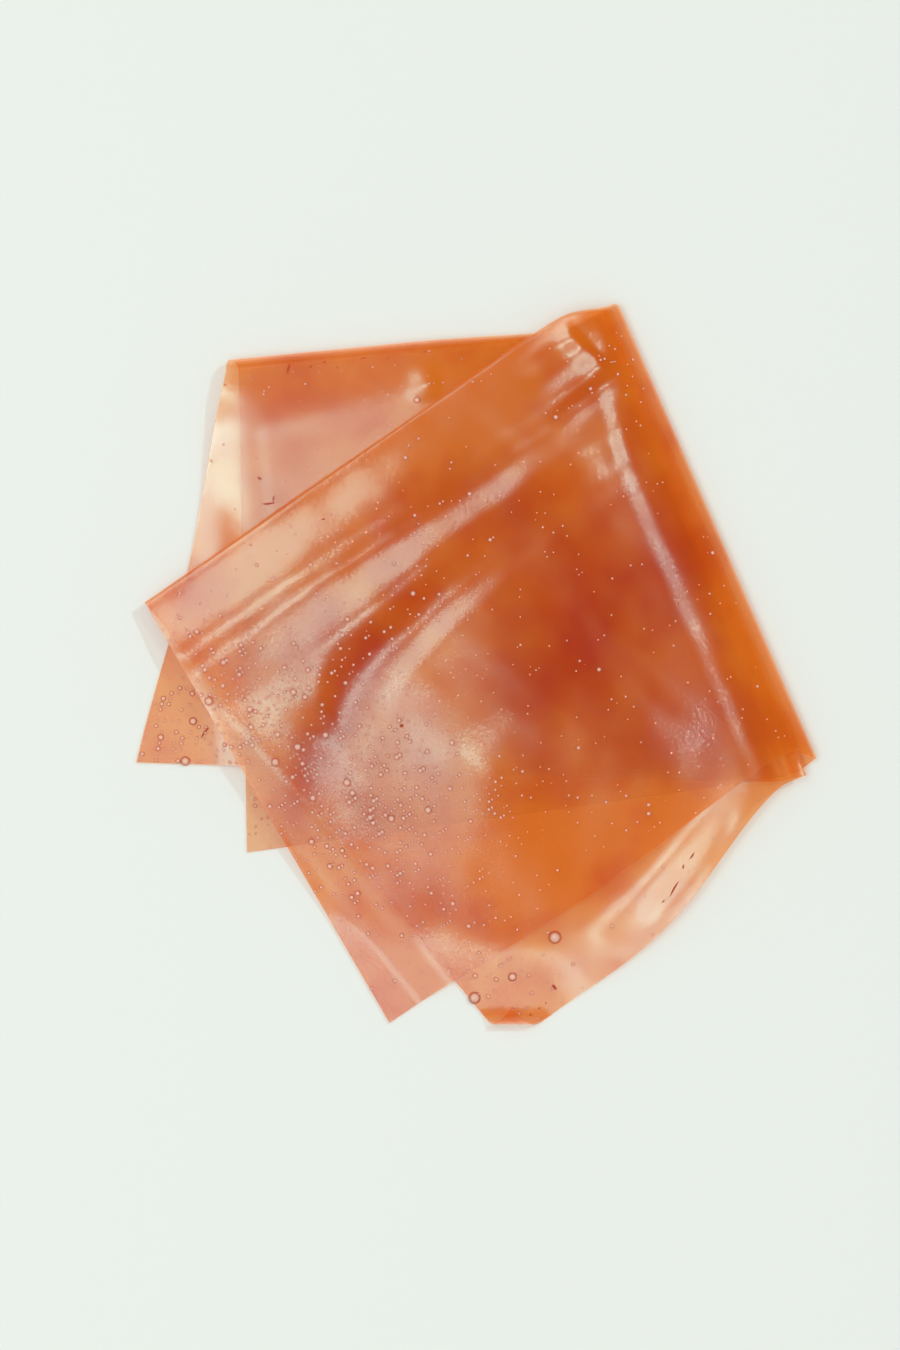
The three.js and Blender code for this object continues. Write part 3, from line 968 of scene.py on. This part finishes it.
def leather_material(name):
    """The sheet: a deep orange with a fine grain in its gloss."""
    # The colour mix carries painted shade and painted glow as well as the sheet's own tone
    material, skin = translucent_material(
        name,
        "tone_shade_and_glow",
        (SCATTER_THIN_AND_GLOW, SCATTER_DEEP_AND_SHADE),
        (THROUGH_THIN_AND_GLOW, THROUGH_DEEP_AND_SHADE),
        LEATHER_ROUGHNESS,
        LEATHER_INDEX,
    )
    tree = material.node_tree
    skin.inputs["Specular Tint"].default_value = (*LEATHER_GLOSS_TINT, 1)
    place = tree.nodes.new("ShaderNodeTexCoord")
    grain = tree.nodes.new("ShaderNodeTexNoise")
    grain.inputs["Scale"].default_value = GRAINS_PER_METRE
    grain.inputs["Detail"].default_value = GRAIN_DETAIL
    grain.inputs["Roughness"].default_value = GRAIN_ROUGHNESS
    bump = tree.nodes.new("ShaderNodeBump")
    bump.inputs["Strength"].default_value = GRAIN_STRENGTH
    bump.inputs["Distance"].default_value = GRAIN_DEPTH
    tree.links.new(place.outputs["Object"], grain.inputs["Vector"])
    tree.links.new(grain.outputs["Fac"], bump.inputs["Height"])
    tree.links.new(bump.outputs["Normal"], skin.inputs["Normal"])
    return material


def bubble_material(name):
    """A bubble's skin: pale on top as a painted highlight, dark round its foot as painted shade."""
    material, _ = translucent_material(
        name,
        "depth",
        (BUBBLE_HIGHLIGHT_SCATTER, BUBBLE_SHADE_SCATTER),
        (BUBBLE_HIGHLIGHT_THROUGH, BUBBLE_SHADE_THROUGH),
        BUBBLE_ROUGHNESS,
        BUBBLE_INDEX,
    )
    return material


def fibre_material(name):
    material, _ = plain_material(name, FIBRE_COLOUR, FIBRE_ROUGHNESS)
    return material


sheet.data.materials.append(leather_material("fruit_leather_gloss"))
bubble_skin.data.materials.append(bubble_material("bubble_skin"))
fibres.data.materials.append(fibre_material("fruit_fibre"))
for piece in (sheet, bubble_skin, fibres):
    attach(piece, "root")
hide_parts("fruit_leather")


# ---- Floor, light and camera, in metres --------------------------------------------------------

FLOOR_SIZE = 12.0
FLOOR_COLOUR = (0.80, 0.84, 0.80)
FLOOR_ROUGHNESS = 0.9
FLOOR_SHINE = 0.1

floor_corners = np.array([(-1, -1, 0), (1, -1, 0), (1, 1, 0), (-1, 1, 0)]) * FLOOR_SIZE / 2 / MM
floor = new_object("floor", floor_corners, [(0, 1, 2, 3)])
paper, paper_shader = plain_material("pale_paper", FLOOR_COLOUR, FLOOR_ROUGHNESS)
paper_shader.inputs["Specular IOR Level"].default_value = FLOOR_SHINE
floor.data.materials.append(paper)


def add_light(name, kind, place, power, colour, **settings):
    data = bpy.data.lights.new(name, kind)
    data.energy = power
    data.color = colour
    for key, value in settings.items():
        setattr(data, key, value)
    lamp = bpy.data.objects.new(name, data)
    lamp.location = place
    bpy.context.scene.collection.objects.link(lamp)
    return lamp


def aim(obj, target):
    direction = Vector(target) - obj.location
    obj.rotation_euler = direction.to_track_quat("-Z", "Y").to_euler()


PANEL_HEIGHT = 2.0
PANEL_COLOUR = (0.95, 1.0, 1.0)
# Each soft panel overhead: its sides in x and y, in metres, and its brightness
PANELS = {
    "window": ((-0.80, -0.31), (0.08, 1.15), 4.1),
    "bright_window": ((-0.85, -0.53), (-0.14, 0.08), 8.0),
    "far_window": ((-1.05, -0.64), (-0.5, -0.14), 10.0),
    "side_window": ((-0.66, -0.30), (-0.42, -0.14), 2.2),
    "front_window": ((-0.30, 0.02), (-0.33, -0.12), 8.2),
    "low_window": ((-0.66, -0.16), (-1.2, -0.42), 1.8),
}
for name, (x_sides, y_sides, brightness) in PANELS.items():
    width, length = np.ptp(x_sides), np.ptp(y_sides)
    add_light(
        name,
        "AREA",
        (np.mean(x_sides), np.mean(y_sides), PANEL_HEIGHT),
        brightness * math.pi * width * length,
        PANEL_COLOUR,
        shape="RECTANGLE",
        size=width,
        size_y=length,
    )

KEY_PLACE = (1.2, 0.85, 1.5)
KEY_STRENGTH = 0.8
KEY_COLOUR = (1.0, 1.0, 0.93)
KEY_WIDTH = math.radians(3)
CEILING_PLACE = (0, 0, 3.0)
CEILING_POWER = 38
CEILING_SIZE = 4
WHITE = (1.0, 1.0, 1.0)

# The low key casts the shadows, and the ceiling fills them; neither shows in the gloss
key = add_light("key", "SUN", KEY_PLACE, KEY_STRENGTH, KEY_COLOUR, angle=KEY_WIDTH)
aim(key, (0, 0, 0))
key.visible_glossy = False
ceiling = add_light(
    "ceiling", "AREA", CEILING_PLACE, CEILING_POWER, WHITE, shape="SQUARE", size=CEILING_SIZE
)
ceiling.visible_glossy = False

ROOM_COLOUR = (1.0, 0.97, 0.96)
# The room's brightness near the horizon and overhead, and the upward shares between which the
# one fades into the other
ROOM_BRIGHTNESS = (0.65, 0.03)
ROOM_FADE = (0.35, 0.85)


def soft_room(name):
    """A room that is dark overhead and pale towards the horizon."""
    room = bpy.data.worlds.new(name)
    room.use_nodes = True
    nodes, link = room.node_tree.nodes, room.node_tree.links.new
    direction = nodes.new("ShaderNodeTexCoord")
    parts = nodes.new("ShaderNodeSeparateXYZ")
    change = nodes.new("ShaderNodeMapRange")
    for socket, value in zip(("From Min", "From Max"), ROOM_FADE):
        change.inputs[socket].default_value = value
    for socket, value in zip(("To Min", "To Max"), ROOM_BRIGHTNESS):
        change.inputs[socket].default_value = value
    link(direction.outputs["Generated"], parts.inputs["Vector"])
    link(parts.outputs["Z"], change.inputs["Value"])
    nodes["Background"].inputs["Color"].default_value = (*ROOM_COLOUR, 1)
    link(change.outputs["Result"], nodes["Background"].inputs["Strength"])
    return room


scene = bpy.context.scene
scene.world = soft_room("soft_room")
scene.view_settings.view_transform = "Standard"
scene.cycles.transparent_max_bounces = 16
scene.cycles.max_bounces = 3
scene.cycles.diffuse_bounces = 2
scene.cycles.glossy_bounces = 2

# The longer side of what the camera sees, and the middle of it
FRAME_LENGTH = 0.3105
VIEW_CENTRE = (-0.0060, -0.0026)
CAMERA_DISTANCE = 2.4
CAMERA_RANGE = 50

camera_data = bpy.data.cameras.new("camera")
camera_data.lens = camera_data.sensor_width * CAMERA_DISTANCE / FRAME_LENGTH
camera_data.clip_end = CAMERA_RANGE
camera = bpy.data.objects.new("camera", camera_data)
camera.location = (*VIEW_CENTRE, CAMERA_DISTANCE)
scene.collection.objects.link(camera)
scene.camera = camera
